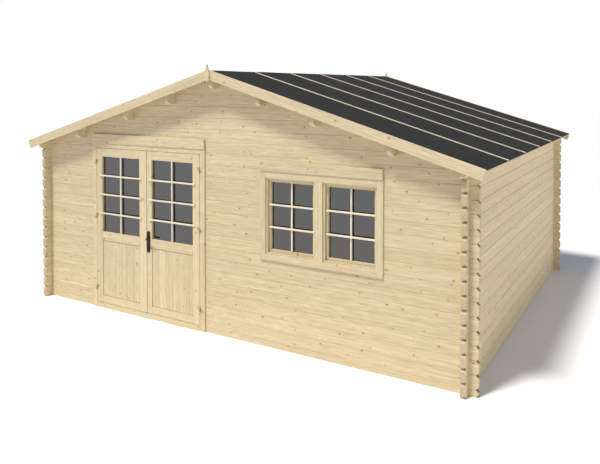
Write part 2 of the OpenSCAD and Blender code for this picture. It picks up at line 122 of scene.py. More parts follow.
class Finish:
    # one node tree; node() is the only place where nodes are made
    def __init__(self, owner):
        self.owner = owner
        owner.use_nodes = True
        self.tree = owner.node_tree
        self.tree.nodes.clear()

    def node(self, kind, settings=None, sockets=None, out=0):
        made = self.tree.nodes.new(kind)
        for key, value in (settings or {}).items():
            setattr(made, key, value)
        for key, value in (sockets or {}).items():
            if isinstance(value, Sock):
                self.tree.links.new(value.socket, made.inputs[key])
            else:
                made.inputs[key].default_value = value
        return Sock(self, made.outputs[out]) if len(made.outputs) else None

    def vector(self, x, y, z=0.0):
        return self.node("ShaderNodeCombineXYZ", None, {0: x, 1: y, 2: z})

    def parts(self, vector):
        split = self.node("ShaderNodeSeparateXYZ", None, {0: vector})
        return split, split.out("Y"), split.out("Z")

    def noise(self, vector, scale=1.0, detail=2.0, rough=0.5):
        values = {"Vector": vector, "Scale": scale, "Detail": detail, "Roughness": rough}
        return self.node("ShaderNodeTexNoise", None, values)

    def blend(self, amount, first, second):
        colours = {0: amount, 6: first, 7: second}
        return self.node("ShaderNodeMix", {"data_type": "RGBA"}, colours, out=2)

    def scaled(self, colour, factor):
        return self.node("ShaderNodeVectorMath", {"operation": "SCALE"}, {0: colour, "Scale": factor})

    def bump(self, height, strength, distance):
        values = {"Strength": strength, "Distance": distance, "Height": height}
        return self.node("ShaderNodeBump", None, values)

    def surface(self, values):
        shader = self.node("ShaderNodeBsdfPrincipled", None, values)
        self.node("ShaderNodeOutputMaterial", None, {"Surface": shader})
        return self.owner


def newFinish(name):
    return Finish(bpy.data.materials.new(name))


def rgba(red, green, blue):
    return (red, green, blue, 1.0)


# planed spruce: pale ground, growth lines, streaks, small knots, ringed ends, painted shade in the notches,
# and a pale cream that some boards are drawn towards;
# a pair of scales counts features along the grain and across it, per metre
spruce = dict(pale=rgba(0.750, 0.629, 0.404), mid=rgba(0.690, 0.559, 0.338), line=rgba(0.552, 0.413, 0.221),
              knot=rgba(0.20, 0.105, 0.045), ring=rgba(0.52, 0.36, 0.18), dust=rgba(0.27, 0.195, 0.098),
              endPale=rgba(0.655, 0.545, 0.370), endLine=rgba(0.525, 0.41, 0.252),
              bleached=rgba(0.87, 0.80, 0.64), courseTone=0.08, mottleTone=0.1, streakTone=0.32,
              knots=(3.6, 9.0), knotSize=0.0068, knotShare=0.85, knotDepth=0.8,
              wander=(0.9, 5.0), broad=(0.55, 38.0), fine=(1.7, 190.0), streak=(10.0, 120.0),
              mottle=(1.3, 6.0), rings=420.0, roughLow=0.52, roughHigh=0.72, relief=0.16, reliefDeep=0.004)


def grainNoise(f, scales, u, v, w, detail, rough=0.5):
    # noise drawn out along the grain
    along, across = scales
    return f.noise(f.vector(u * along, v * across, w * across), detail=detail, rough=rough)


def spruceColours(f, look, u, v, w, tone, tip, bleach=0.0, paintedShade=0.0):
    # u runs along the grain, v across it and w into the board, all in metres
    knotsAlong, knotsAcross = look["knots"]
    cells = f.vector(u * knotsAlong, v * knotsAcross)
    settings = {"voronoi_dimensions": "2D", "feature": "F1"}
    nearest = f.node("ShaderNodeTexVoronoi", settings, {"Vector": cells, "Scale": 1.0}, out="Position")
    spotU, spotV, unused = f.parts(nearest)
    chance, sizeDraw, unused = f.parts(nearest.out("Color"))
    du = u - spotU / knotsAlong
    dv = v - spotV / knotsAcross
    away = (du * du * 0.6 + dv * dv).root() / (look["knotSize"] * (0.35 + 0.65 * sizeDraw))
    present = chance.under(look["knotShare"])
    core = away.ramp(1.1, 0.6) * present
    halo = away.ramp(3.6, 0.9) * present

    # growth lines wander a little and part round the knots
    wander = grainNoise(f, look["wander"], u, v, w, 1.0)
    line = v - dv * halo * 0.75 + (wander - 0.5) * 0.02
    broad = grainNoise(f, look["broad"], u, line, w, 2.0, 0.6)
    fine = grainNoise(f, look["fine"], u, line, w, 2.0, 0.55)
    mottle = grainNoise(f, look["mottle"], u, v, w, 2.0) - 0.5
    streak = grainNoise(f, look["streak"], u, line, w, 0.0) - 0.5

    face = f.blend(broad.ramp(0.3, 0.72), look["pale"], look["mid"])
    face = f.blend(fine.ramp(0.5, 0.78) * 0.5, face, look["line"])
    face = f.blend(halo * 0.35, face, look["ring"])
    face = f.blend(core * look["knotDepth"], face, look["knot"])

    # rings on the sawn ends
    ringV = v + (wander - 0.5) * 0.03
    across = (w * w + ringV * ringV).root()
    rings = f.noise(f.vector(across * look["rings"], 0.0), detail=1.0)
    ends = f.blend(rings.ramp(0.35, 0.65), look["endPale"], look["endLine"])
    # boards are drawn towards the pale cream by their share; on the glazing bars this is painted highlight
    colour = f.blend(bleach, f.blend(tip, face, ends), look["bleached"])
    tone = tone * (1.0 + mottle * look["mottleTone"] + streak * look["streakTone"])
    # painted shade: the notch mask draws the colour towards a dark brown
    colour = f.blend(paintedShade, f.scaled(colour, tone), look["dust"])

    rough = look["roughLow"] + (look["roughHigh"] - look["roughLow"]) * fine
    height = broad * 0.45 + fine * 0.55 - core * 0.5
    return f.surface({"Base Color": colour, "Roughness": rough, "Specular IOR Level": 0.3,
                      "Normal": f.bump(height, look["relief"], look["reliefDeep"])})


def solidSpruce(name, look, along, rows, pitch, offset=0.0, stub=None):
    # for solids of the frame: grain along one axis, and a new tone and grain for each row of pieces;
    # the notches at the log ends are deep, so painted shade darkens their undersides from start to end along
    # the log and outside core across it, and the sawn bevels under them, as strongly as the stub's bevel
    # shade amount says
    f = newFinish(name)
    spot = f.node("ShaderNodeTexCoord", None, None, out="Object")
    place = dict(zip("xyz", f.parts(spot)))
    facing = dict(zip("xyz", f.parts(spot.out("Normal"))))
    across, into = {"x": "zy", "y": "zx", "z": "xy"}[along]
    row = (place[rows] / pitch + offset).floor()
    draw = f.node("ShaderNodeTexWhiteNoise", {"noise_dimensions": "1D"}, {"W": row}, out="Color")
    drawU, drawV, drawTone = f.parts(draw)
    u = place[along] + drawU * 50.0
    v = place[across] + drawV * 9.0
    tone = 1.0 + (drawTone - 0.5) * look["courseTone"]
    endOn = facing[along].size()
    paintedShade = 0.0
    if stub:
        # painted shade: downward faces in the log-end notches, and the upward sawn end bevels, are darkened
        reach = place[along].size()
        below = facing["z"].ramp(-0.4, -0.65) * (place[into].size() - stub["core"]).ramp(0.0, 0.006)
        below = below * reach.ramp(stub["start"], stub["start"] + 0.01)
        below = below * reach.ramp(stub["end"], stub["end"] - 0.006)
        paintedShade = (below + facing["z"].ramp(0.5, 0.6) * endOn.ramp(0.5, 0.6) * stub["bevel"]).least(1.0)
    return spruceColours(f, look, u, v, place[into], tone, endOn.ramp(0.55, 0.85), paintedShade=paintedShade)


def boardSpruce(name, look):
    # for boards that carry their own grain coordinates
    f = newFinish(name)
    grain = f.node("ShaderNodeAttribute", {"attribute_name": "grain"}, None, out="Vector")
    u, v, w = f.parts(grain)
    tone = f.node("ShaderNodeAttribute", {"attribute_name": "tone"}, None, out="Fac")
    tip = f.node("ShaderNodeAttribute", {"attribute_name": "tip"}, None, out="Fac")
    bleach = f.node("ShaderNodeAttribute", {"attribute_name": "bleach"}, None, out="Fac")
    return spruceColours(f, look, u, v, w, tone, tip, bleach)


course = 0.114
# where the painted notch shade lies on each wall's logs, and how strongly it darkens the end bevels
sideStub = dict(start=2.04, end=2.097, core=2.429, bevel=0.14)
crossStub = dict(start=2.47, end=9.0, core=0.0, bevel=0.9)
sideLogs = solidSpruce("side_logs", spruce, "y", "z", course, stub=sideStub)
crossLogs = solidSpruce("cross_logs", spruce, "x", "z", course, 0.5, crossStub)
purlinWood = solidSpruce("purlin_wood", spruce, "y", "x", 0.3)
postWood = solidSpruce("post_wood", spruce, "z", "x", 0.5)
railWood = solidSpruce("rail_wood", spruce, "x", "z", 0.6)
boardWood = boardSpruce("board_wood", spruce)

# mineral-faced roofing felt
feltLook = dict(dark=rgba(0.0165, 0.0165, 0.016), pale=rgba(0.033, 0.033, 0.032), grit=950.0)


def feltFinish(look):
    f = newFinish("roofing_felt")
    spot = f.node("ShaderNodeTexCoord", None, None, out="Object")
    grit = f.noise(spot, look["grit"], 1.0, 0.6)
    patch = f.noise(spot, 2.2, 3.0, 0.6)
    colour = f.blend((grit * 0.7 + patch * 0.5).ramp(0.38, 0.85), look["dark"], look["pale"])
    return f.surface({"Base Color": colour, "Roughness": 0.86 + patch * 0.1, "Specular IOR Level": 0.08,
                      "Normal": f.bump(grit, 0.5, 0.002)})


# dark sheet glass that mirrors its surroundings a little
paneLook = dict(colour=rgba(0.006, 0.006, 0.006), sheen=rgba(1.0, 0.97, 0.94), index=2.2, cover=0.9)


def paneFinish(look):
    f = newFinish("pane")
    spot = f.node("ShaderNodeTexCoord", None, None, out="Object")
    ripple = f.noise(spot, 1.6, 1.0)
    return f.surface({"Base Color": look["colour"], "Roughness": 0.012 + ripple * 0.02,
                      "IOR": look["index"], "Specular Tint": look["sheen"], "Alpha": look["cover"]})


# brassed hinges and the black handle
metalLook = dict(brass=rgba(0.62, 0.50, 0.24), brassWorn=rgba(0.45, 0.35, 0.15),
                 black=rgba(0.008, 0.008, 0.0075))


def brassFinish(look):
    f = newFinish("hinge_brass")
    spot = f.node("ShaderNodeTexCoord", None, None, out="Object")
    cloud = f.noise(spot, 60.0, 3.0)
    colour = f.blend(cloud.ramp(0.35, 0.7), look["brass"], look["brassWorn"])
    return f.surface({"Base Color": colour, "Metallic": 1.0, "Roughness": 0.24 + cloud * 0.22})


def blackFinish(look):
    f = newFinish("handle_black")
    spot = f.node("ShaderNodeTexCoord", None, None, out="Object")
    peel = f.noise(spot, 420.0, 1.0)
    return f.surface({"Base Color": look["black"], "Roughness": 0.42 + peel * 0.16, "Specular IOR Level": 0.3,
                      "Normal": f.bump(peel, 0.12, 0.001)})


felt = feltFinish(feltLook)
pane = paneFinish(paneLook)
brass = brassFinish(metalLook)
black = blackFinish(metalLook)
print("finishes made")


def setFinish(finish, *names):
    for name in names:
        nodes[name].data.materials.clear()
        nodes[name].data.materials.append(finish)


setFinish(sideLogs, "left_wall", "right_wall")
setFinish(crossLogs, "back_wall", "back_gable", "front_wall_left", "front_wall_right", "front_gable")
setFinish(purlinWood, "ridge_purlin", "left_purlins", "right_purlins")
setFinish(postWood, "left_door_jamb", "right_door_jamb", "window_frame")
setFinish(railWood, "door_head", "door_threshold")
setFinish(pane, "left_leaf_glass", "right_leaf_glass", "window_glass")
print("frame solids finished")


def joinTubes(batches):
    # each batch is an array of tubes, rings, points; sides are quads, and both ends are flat caps
    points = []
    faces = []
    base = 0
    for rings in batches:
        tubeCount, ringCount, around = rings.shape[:3]
        index = base + np.arange(tubeCount * ringCount * around).reshape(tubeCount, ringCount, around)
        beside = np.roll(index, -1, axis=2)
        corners = [index[:, :-1], beside[:, :-1], beside[:, 1:], index[:, 1:]]
        faces += np.stack(corners, axis=-1).reshape(-1, 4).tolist()
        faces += index[:, 0, ::-1].tolist() + index[:, -1].tolist()
        points.append(rings.reshape(-1, 3))
        base += index.size
    return np.concatenate(points), faces


def makePiece(name, batches, finish, body, replaced=(), layers=None, smooth=False):
    points, faces = joinTubes(batches)
    mesh = bpy.data.meshes.new(name)
    mesh.from_pydata(points, [], faces)
    for layer, values in (layers or {}).items():
        kind = "FLOAT_VECTOR" if values.ndim == 2 else "FLOAT"
        store = mesh.attributes.new(layer, kind, "POINT")
        store.data.foreach_set("vector" if values.ndim == 2 else "value", values.astype(np.float32).ravel())
    work = bmesh.new()
    work.from_mesh(mesh)
    bmesh.ops.recalc_face_normals(work, faces=work.faces)
    work.to_mesh(mesh)
    work.free()
    if smooth:
        mesh.polygons.foreach_set("use_smooth", np.ones(len(mesh.polygons), bool))
        mesh.set_sharp_from_angle(angle=math.radians(38))
    mesh.materials.append(finish)
    piece = bpy.data.objects.new(name, mesh)
    bpy.context.scene.collection.objects.link(piece)
    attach(piece, body)
    if replaced:
        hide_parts(*replaced)
    return piece


hair = 0.0003  # keeps the faces of neighbouring pieces apart


def board(start, end, wide, thick, startCut=(0.0, 0.0), endCut=(0.0, 0.0)):
    # a straight board: its two end middles, its full width and thickness as vectors, and its end bevels
    return [np.asarray(part, float) for part in (start, end, wide, thick, startCut, endCut)]


def beam(low, high, along):
    # a board that fills a box; its grain runs along one axis
    low = np.asarray(low, float)
    high = np.asarray(high, float)
    sides = np.diag(high - low)
    run = "xyz".index(along)
    thick, wide = sorted((i for i in range(3) if i != run), key=lambda i: sides[i, i])
    start = (low + high - sides[run]) / 2
    return board(start, start + sides[run], sides[wide], sides[thick])


def unit(vectors):
    length = np.linalg.norm(vectors, axis=-1)
    return vectors / length[..., None], length


def plankRings(boards, edge, seed, pale=1.0, bleach=0.0):
    # a rectangle with round corners is carried along each board and drawn in over the last bit at both ends
    start, end, wide, thick, startCut, endCut = (np.array(column) for column in zip(*boards))
    run, length = unit(end - start)
    side, width = unit(wide)
    up, depth = unit(thick)
    corner = np.repeat(np.arange(4), 3)
    angle = np.radians(90.0 * corner + np.tile([0.0, 45.0, 90.0], 4))
    signX = np.where((corner == 0) | (corner == 3), 1.0, -1.0)
    signY = np.where(corner < 2, 1.0, -1.0)
    radius = edge * np.array([0.3, 1.0, 1.0, 0.3])[None, :, None]
    across = signX * (width[:, None, None] / 2 - edge) + radius * np.cos(angle)
    rise = signY * (depth[:, None, None] / 2 - edge) + radius * np.sin(angle)
    station = np.stack([0 * length, 0 * length + edge, length - edge, length], axis=1)
    cut = np.stack([startCut, startCut, endCut, endCut], axis=1)[:, :, :, None]
    travel = station[:, :, None] + cut[:, :, 0] * across + cut[:, :, 1] * rise
    local = np.stack([travel, across, rise], axis=-1)
    frameOf = np.stack([run, side, up], axis=1)
    rings = start[:, None, None, :] + np.einsum("brmi,bij->brmj", local, frameOf)
    draw = np.random.default_rng(seed)
    offset = draw.uniform((0, 0, 0.0), (60, 12, 0.03), (len(boards), 3))
    tone = pale * draw.normal(1.0, 0.028, len(boards))
    grain = local + offset[:, None, None, :]
    tip = np.zeros(rings.shape[:3])
    tip[:, [0, -1]] = 1.0
    layers = {"grain": grain.reshape(-1, 3), "tip": tip.ravel(), "bleach": np.full(tip.size, bleach),
              "tone": np.broadcast_to(tone[:, None, None], rings.shape[:3]).ravel()}
    return rings, layers


def timber(name, boards, edge, seed, body="cabin", replaced=(), pale=1.0, bleach=0.0):
    rings, layers = plankRings(boards, edge, seed, pale, bleach)
    return makePiece(name, [rings], boardWood, body, replaced, layers)


# roof: boards from ridge to eave, felt in strips over the ridge, battens on the joints
roof = dict(pitch=16.6, thick=0.018, boardWide=0.095, boardEdge=0.0025, hair=0.0004)
pitch = math.radians(roof["pitch"])
downhill = math.tan(pitch)
boardLow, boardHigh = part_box("right_roof_boards")
ridgeZ = boardHigh.z - roof["thick"] / math.cos(pitch)
eaveRun = (boardHigh.x - roof["thick"] * math.sin(pitch)) / math.cos(pitch)


def slopeAt(side, run, y, rise):
    # a point on one slope: run down from the ridge and rise above the underside of the boards
    x = run * math.cos(pitch) + rise * math.sin(pitch)
    return np.array([side * x, y, ridgeZ - run * math.sin(pitch) + rise * math.cos(pitch)])


def slopeBoard(side, y0, y1, rise0, rise1, flat=True, first=roof["hair"]):
    # a board from the ridge, or from first beside it, to the eave, its upper end cut upright;
    # flat ones lie on the slope, others stand
    y = (y0 + y1) / 2
    rise = (rise0 + rise1) / 2
    start = slopeAt(side, first / math.cos(pitch) - rise * downhill, y, rise)
    end = slopeAt(side, eaveRun, y, rise)
    over = np.array([0.0, y1 - y0, 0.0])
    above = slopeAt(side, 0.0, y, rise1) - slopeAt(side, 0.0, y, rise0)
    if flat:
        return board(start, end, over, above, startCut=(0.0, -downhill))
    return board(start, end, above, over, startCut=(-downhill, 0.0))


courses = round((boardHigh.y - boardLow.y) / roof["boardWide"])
seams = np.linspace(boardLow.y, boardHigh.y, courses + 1)
for side, name in ((-1, "left"), (1, "right")):
    laid = [slopeBoard(side, y0 + roof["hair"], y1 - roof["hair"], 0.0, roof["thick"])
            for y0, y1 in zip(seams[:-1], seams[1:])]
    timber(name + "RoofBoards", laid, roof["boardEdge"], 11 + side,
           replaced=(name + "_roof_boards",))

feltPiece = dict(low=0.0184, high=0.0222, strips=6, gap=0.001, soft=0.0015, ridgeBend=0.006, wave=0.0007,
                 stations=161, across=15)


def feltStrips(look):
    # each strip is a thin band across y, carried from eave to eave over the rounded ridge;
    # slow waves lift its top, and its rims are drawn down
    edges = np.linspace(boardLow.y, boardHigh.y, look["strips"] + 1)
    y0 = edges[:-1, None, None] + look["gap"] / 2
    y1 = edges[1:, None, None] - look["gap"] / 2
    reach = (eaveRun + look["low"] * downhill) * math.cos(pitch)
    x = np.linspace(-1, 1, look["stations"])[None, :, None] * reach
    share = np.concatenate([np.linspace(0, 1, look["across"]), np.linspace(1, 0, look["across"])])
    top = np.repeat([1.0, 0.0], look["across"])
    rim = (share == 0) | (share == 1)
    y = y0 + (y1 - y0) * share + 0 * x
    ripple = np.sin(5.1 * x + 9.0 * y) + 0.6 * np.sin(11.0 * x - 6.0 * y + 1.0)
    lift = look["low"] + (look["high"] - look["low"]) * top - look["soft"] * rim * top
    rise = (lift + look["wave"] * ripple * top * ~rim) / math.cos(pitch)
    z = ridgeZ + rise - downhill * np.sqrt(x ** 2 + look["ridgeBend"] ** 2)
    return np.stack([x + 0 * y, y, z], axis=-1)


makePiece("roofFelt", [feltStrips(feltPiece)], felt, "cabin", ("left_felt", "right_felt"))

battens = dict(count=5, wide=0.022, thick=0.007, edge=0.0015, bleach=0.6)
battenLow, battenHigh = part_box("right_battens")
battenRise = (battenHigh.z - ridgeZ + battenLow.x * downhill) * math.cos(pitch)
battenBase = battenRise - battens["thick"]
middles = np.linspace(battenLow.y + battens["wide"] / 2, battenHigh.y - battens["wide"] / 2, battens["count"])
for side, name in ((-1, "left"), (1, "right")):
    laid = [slopeBoard(side, y - battens["wide"] / 2, y + battens["wide"] / 2, battenBase, battenRise,
                       first=battenLow.x) for y in middles]
    timber(name + "Battens", laid, battens["edge"], 23 + side, replaced=(name + "_battens",),
           bleach=battens["bleach"])

barge = dict(tall=0.090, edge=0.003)
for end in ("front", "back"):
    for side, hand in ((-1, "left"), (1, "right")):
        low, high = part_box(end + "_" + hand + "_bargeboard")
        top = (high.z - ridgeZ) * math.cos(pitch)
        laid = slopeBoard(side, low.y, high.y, top - barge["tall"], top, flat=False)
        timber(end + hand.title() + "Bargeboard", [laid], barge["edge"], 31 + side,
               replaced=(end + "_" + hand + "_bargeboard",))

finial = dict(waist=0.48, edge=0.003, tip=0.003, points=33)


def finialRings(look, low, high):
    # half width over the height: a rounded taper below the waist and a drawn-out point above it
    v = np.linspace(0, 1, look["points"])
    below = np.sin(np.clip(v / look["waist"], 0, 1) * math.pi / 2) ** 0.8
    above = np.sin(np.clip((1 - v) / (1 - look["waist"]), 0, 1) * math.pi / 2) ** 1.7
    half = look["tip"] + ((high.x - low.x) / 2 - look["tip"]) * np.minimum(below, above)
    x = np.concatenate([half, -half[::-1]])
    z = low.z + (high.z - low.z) * np.concatenate([v, v[::-1]])
    middle = (low.z + high.z) / 2
    inset = np.array([look["edge"], 0.0, 0.0, look["edge"]])[:, None]
    y = np.array([low.y, low.y + look["edge"], high.y - look["edge"], high.y])[:, None]
    drawn = 1 - inset / (high.x - low.x) * 2
    lower = 1 - inset / (high.z - low.z) * 2
    return np.stack([x * drawn, y + 0 * x, middle + (z - middle) * lower], axis=-1)[None]


for end in ("front", "back"):
    rings = finialRings(finial, *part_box(end + "_finial"))
    grain = rings.reshape(-1, 3)[:, [2, 0, 1]]
    layers = {"grain": grain, "tone": np.full(len(grain), 1.02), "tip": np.zeros(len(grain))}
    makePiece(end + "Finial", [rings], boardWood, "cabin", (end + "_finial",), layers)
print("roof dressed")

# trim round the doorway
doorTrim = dict(wide=0.057, edge=0.0025, pale=1.05)
trimLow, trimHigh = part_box("door_trims")
headerLow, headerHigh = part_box("door_header_board")
timber("doorTrims", [beam(trimLow, (trimLow.x + doorTrim["wide"], trimHigh.y, trimHigh.z), "z"),
                     beam((trimHigh.x - doorTrim["wide"], trimLow.y, trimLow.z), trimHigh, "z")],
       doorTrim["edge"], 41, replaced=("door_trims",), pale=doorTrim["pale"])
timber("doorHeaderBoard", [beam(headerLow, headerHigh, "x")], doorTrim["edge"], 42,
       replaced=("door_header_board",))

# door leaves: stiles and rails, boarded panels, beads behind the glass, bars in front of it
leaf = dict(edge=0.0022, panelBoards=6, panelEdge=0.0014, panelGap=0.003, panelThick=0.010, bead=0.011,
            beadEdge=0.003, beadBack=0.001, pale=1.03)
# the glazing bars are drawn paler and towards cream: painted highlight for their lit faces
bars = dict(wide=0.016, deep=0.013, doorLap=0.034, windowLap=0.020, edge=0.002, doorRows=4, windowRows=3,
            pale=1.06, bleach=0.7)


def glazingBars(hole, frontY, rows, lap):
    # one upright bar flush with the frame's face, and level bars over it that lap onto the frame
    low, high = hole
    half = bars["wide"] / 2
    middle = (low[0] + high[0]) / 2
    laid = [beam((middle - half, frontY, low[1] + hair),
                 (middle + half, frontY + bars["deep"], high[1] - hair), "z")]
    for z in np.linspace(low[1], high[1], rows + 1)[1:-1]:
        laid.append(beam((low[0] - lap, frontY - bars["deep"] - hair, z - half),
                         (high[0] + lap, frontY - hair, z + half), "x"))
    return laid


def frameBoards(low, high, holes):
    # two stiles from top to bottom, and rails between them above, between and below the holes
    left = min(hole[0][0] for hole in holes)
    right = max(hole[1][0] for hole in holes)
    laid = [beam(low, (left, high[1], high[2]), "z"), beam((right, low[1], low[2]), high, "z")]
    heights = [low[2]] + [z for hole in holes for z in (hole[0][1], hole[1][1])] + [high[2]]
    for z0, z1 in zip(heights[::2], heights[1::2]):
        laid.append(beam((left + hair, low[1], z0), (right - hair, high[1], z1), "x"))
    return laid


def beadBoards(hole, y0, y1):
    # a small strip along each side of a hole
    (x0, z0), (x1, z1) = hole
    size = leaf["bead"]
    return [beam((x0, y0, z0), (x0 + size, y1, z1), "z"), beam((x1 - size, y0, z0), (x1, y1, z1), "z"),
            beam((x0 + size, y0, z0), (x1 - size, y1, z0 + size), "x"),
            beam((x0 + size, y0, z1 - size), (x1 - size, y1, z1), "x")]


def holeFor(node):
    low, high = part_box(node)
    return (low.x - hair, low.z - hair), (high.x + hair, high.z + hair)


for hand, seed in (("left", 51), ("right", 61)):
    body = hand + "_door"
    low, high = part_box(hand + "_leaf_frame")
    panelLow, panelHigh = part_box(hand + "_leaf_panel")
    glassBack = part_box(hand + "_leaf_glass")[1].y
    hole = holeFor(hand + "_leaf_glass")
    timber(hand + "LeafFrame", frameBoards(low, high, [holeFor(hand + "_leaf_panel"), hole]), leaf["edge"],
           seed, body, (hand + "_leaf_frame",), leaf["pale"])
    gap = leaf["panelGap"]
    seams = np.linspace(panelLow.x + gap, panelHigh.x - gap, leaf["panelBoards"] + 1)
    backY = panelLow.y + leaf["panelThick"]
    laid = [beam((x0 + hair, panelLow.y, panelLow.z + gap), (x1 - hair, backY - hair, panelHigh.z - gap), "z")
            for x0, x1 in zip(seams[:-1], seams[1:])]
    laid.append(beam((panelLow.x, backY, panelLow.z), panelHigh, "z"))
    timber(hand + "LeafPanel", laid, leaf["panelEdge"], seed + 1, body,
           (hand + "_leaf_panel",))
    timber(hand + "LeafBeads", beadBoards(hole, glassBack + hair, high.y - leaf["beadBack"]),
           leaf["beadEdge"], seed + 2, body)
    # painted highlight: the bars are drawn paler and creamier
    timber(hand + "LeafBars", glazingBars(hole, low.y, bars["doorRows"], bars["doorLap"]), bars["edge"],
           seed + 3, body, pale=bars["pale"], bleach=bars["bleach"])

# thin strips that narrow the gaps round the leaves: on both jambs, under the head and on the threshold
strip = dict(gap=0.007, thick=0.0042, front=0.003, deep=0.016, edge=0.0006)
leftLow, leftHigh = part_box("left_leaf_frame")
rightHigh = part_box("right_leaf_frame")[1]
y0 = leftLow.y + strip["front"]
y1 = y0 + strip["deep"]
x0 = leftLow.x - strip["gap"] + hair
x1 = rightHigh.x + strip["gap"] - hair
z0 = leftLow.z - strip["gap"] + hair
z1 = leftHigh.z + strip["gap"] - hair
thick = strip["thick"]
laid = [beam((x0, y0, z0), (x0 + thick, y1, z1), "z"), beam((x1 - thick, y0, z0), (x1, y1, z1), "z"),
        beam((x0 + thick + hair, y0, z0), (x1 - thick - hair, y1, z0 + thick), "x"),
        beam((x0 + thick + hair, y0, z1 - thick), (x1 - thick - hair, y1, z1), "x")]
timber("frameStrips", laid, strip["edge"], 81)
print("door leaves dressed")

# window: trim boards, header board, sashes with beads and bars
window = dict(trim=0.057, topTrim=0.064, post=0.080, border=0.016, member=0.022, edge=0.0025, beadEdge=0.002)
low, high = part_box("window_trims")
middle = (low.x + high.x) / 2
x0 = low.x + window["trim"]
x1 = high.x - window["trim"]
z0 = low.z + window["trim"]
z1 = high.z - window["topTrim"]
laid = [beam(low, (x0, high.y, high.z), "z"), beam((x1, low.y, low.z), high, "z"),
        beam((x0 + hair, low.y, z1), (x1 - hair, high.y, high.z), "x"),
        beam((x0 + hair, low.y, low.z), (x1 - hair, high.y, z0), "x"),
        beam((middle - window["post"] / 2, low.y, z0 + hair),
             (middle + window["post"] / 2, high.y, z1 - hair), "z")]
timber("windowTrims", laid, window["edge"], 71, replaced=("window_trims",))
timber("windowHeaderBoard", [beam(*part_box("window_header_board"), "x")], window["edge"], 72,
       replaced=("window_header_board",))

sashLow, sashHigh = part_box("window_sashes")
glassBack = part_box("window_glass")[1].y
sashes = []
beads = []
windowBars = []
postHalf = window["post"] / 2 + window["border"] + hair
for x0, x1 in ((sashLow.x, middle - postHalf), (middle + postHalf, sashHigh.x)):
    hole = ((x0 + window["member"], sashLow.z + window["member"]),
            (x1 - window["member"], sashHigh.z - window["member"]))
    sashes += frameBoards((x0, sashLow.y, sashLow.z), (x1, sashHigh.y, sashHigh.z), [hole])
    beads += beadBoards(hole, glassBack + hair, sashHigh.y)
    windowBars += glazingBars(hole, sashLow.y, bars["windowRows"], bars["windowLap"])
timber("windowSashes", sashes, leaf["edge"], 73, replaced=("window_sashes",))
timber("windowBeads", beads, window["beadEdge"], 74)
# painted highlight: the window bars are drawn paler and creamier
timber("windowBars", windowBars, bars["edge"], 75, pale=bars["pale"], bleach=bars["bleach"])
print("window dressed")

# hinges: a barrel with a domed end and a flap with two screws for each half
hinge = dict(heights=(0.221, 1.005, 1.598), radius=0.007, half=0.026, dome=0.004, lip=0.0006, sectors=20,
             flapFrom=0.002, flapTo=0.030, flapThick=0.002, flapTrim=0.001, flapEdge=0.0008,
             screw=0.0036, screwRise=0.0009, screwFrom=0.010, screwRun=0.017, screwSectors=12)


def lathe(profile, sectors):
    # each point of the profile, a radius and a height, turns round the upright axis
    angle = np.linspace(0, 2 * math.pi, sectors, endpoint=False)
    radius, height = np.asarray(profile, float).T
    x = radius[:, None] * np.cos(angle)
    y = radius[:, None] * np.sin(angle)
    return np.stack([x, y, height[:, None] + 0 * angle], axis=-1)


def barrelProfile(look, outward):
    # straight up to the dome, then a quarter of an ellipse
    turn = np.linspace(0, math.pi / 2, 7)[:-1]
    radius = np.concatenate([[0.6, 0.94, 1.0, 1.0], np.cos(turn[1:]), [0.08]]) * look["radius"]
    straight = look["half"] - look["dome"]
    height = np.concatenate([[0.0, 0.0, look["lip"], straight], straight + look["dome"] * np.sin(turn[1:]),
                             [look["half"]]])
    return np.stack([radius, outward * height], axis=1)


def hingeHalves(pivot, faceY, side, outward):
    # barrels on the pivot, flaps on the face towards side, screws on the flaps
    heights = np.array(hinge["heights"])
    shift = np.stack([0 * heights + pivot[0], 0 * heights + pivot[1], heights + outward * hair], axis=1)
    barrels = lathe(barrelProfile(hinge, outward), hinge["sectors"])[None] + shift[:, None, None, :]
    flaps = []
    screws = []
    cap = [(0.6, 0.0), (1.0, 0.0), (1.0, 0.4), (0.8, 0.85), (0.3, 1.0)]
    dome = lathe(np.array(cap) * (hinge["screw"], hinge["screwRise"]), hinge["screwSectors"])
    dome = dome[:, :, [0, 2, 1]] * (1, -1, 1)
    for z in heights:
        z0, z1 = sorted((z + outward * hinge["flapTrim"], z + outward * (hinge["half"] - hinge["flapTrim"])))
        x0, x1 = sorted((pivot[0] + side * hinge["flapFrom"], pivot[0] + side * hinge["flapTo"]))
        flaps.append(beam((x0, faceY - hinge["flapThick"], z0), (x1, faceY, z1), "x"))
        for share in (0.3, 0.72):
            x = pivot[0] + side * (hinge["screwFrom"] + hinge["screwRun"] * share)
            screws.append(dome + np.array((x, faceY - hinge["flapThick"], z0 + (z1 - z0) * share)))
    return [barrels, plankRings(flaps, hinge["flapEdge"], 5)[0], np.array(screws)]


for hand, side in (("left", -1), ("right", 1)):
    pivot = pivots[hand + "_door_hinge"]
    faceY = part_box(hand + "_leaf_frame")[0].y - hair
    makePiece(hand + "FrameHinges", hingeHalves(pivot, faceY, side, -1), brass, "cabin",
              (hand + "_frame_hinges",), smooth=True)
    makePiece(hand + "LeafHinges", hingeHalves(pivot, faceY, -side, 1), brass, hand + "_door",
              (hand + "_leaf_hinges",), smooth=True)

# handle: round-ended plates with a rose and a keyhole cover, and a bent lever on each face
handle = dict(plateSoft=0.0035, rose=0.0165, roseRise=0.003, roseSoft=0.0015, keyDrop=0.092,
              coverWide=0.011, coverTall=0.032, coverRise=0.002, coverSoft=0.0012, neck=0.0088, grip=0.0072,
              gripOut=0.011, sunk=0.001, bend=0.014, droop=0.004, around=24, shaft=0.0045, shaftAround=16)
plateLow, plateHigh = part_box("handle_plates")
leverLow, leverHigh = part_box("handle_levers")
leafLow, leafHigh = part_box("right_leaf_frame")
spindle = pivots["handle_turn"]


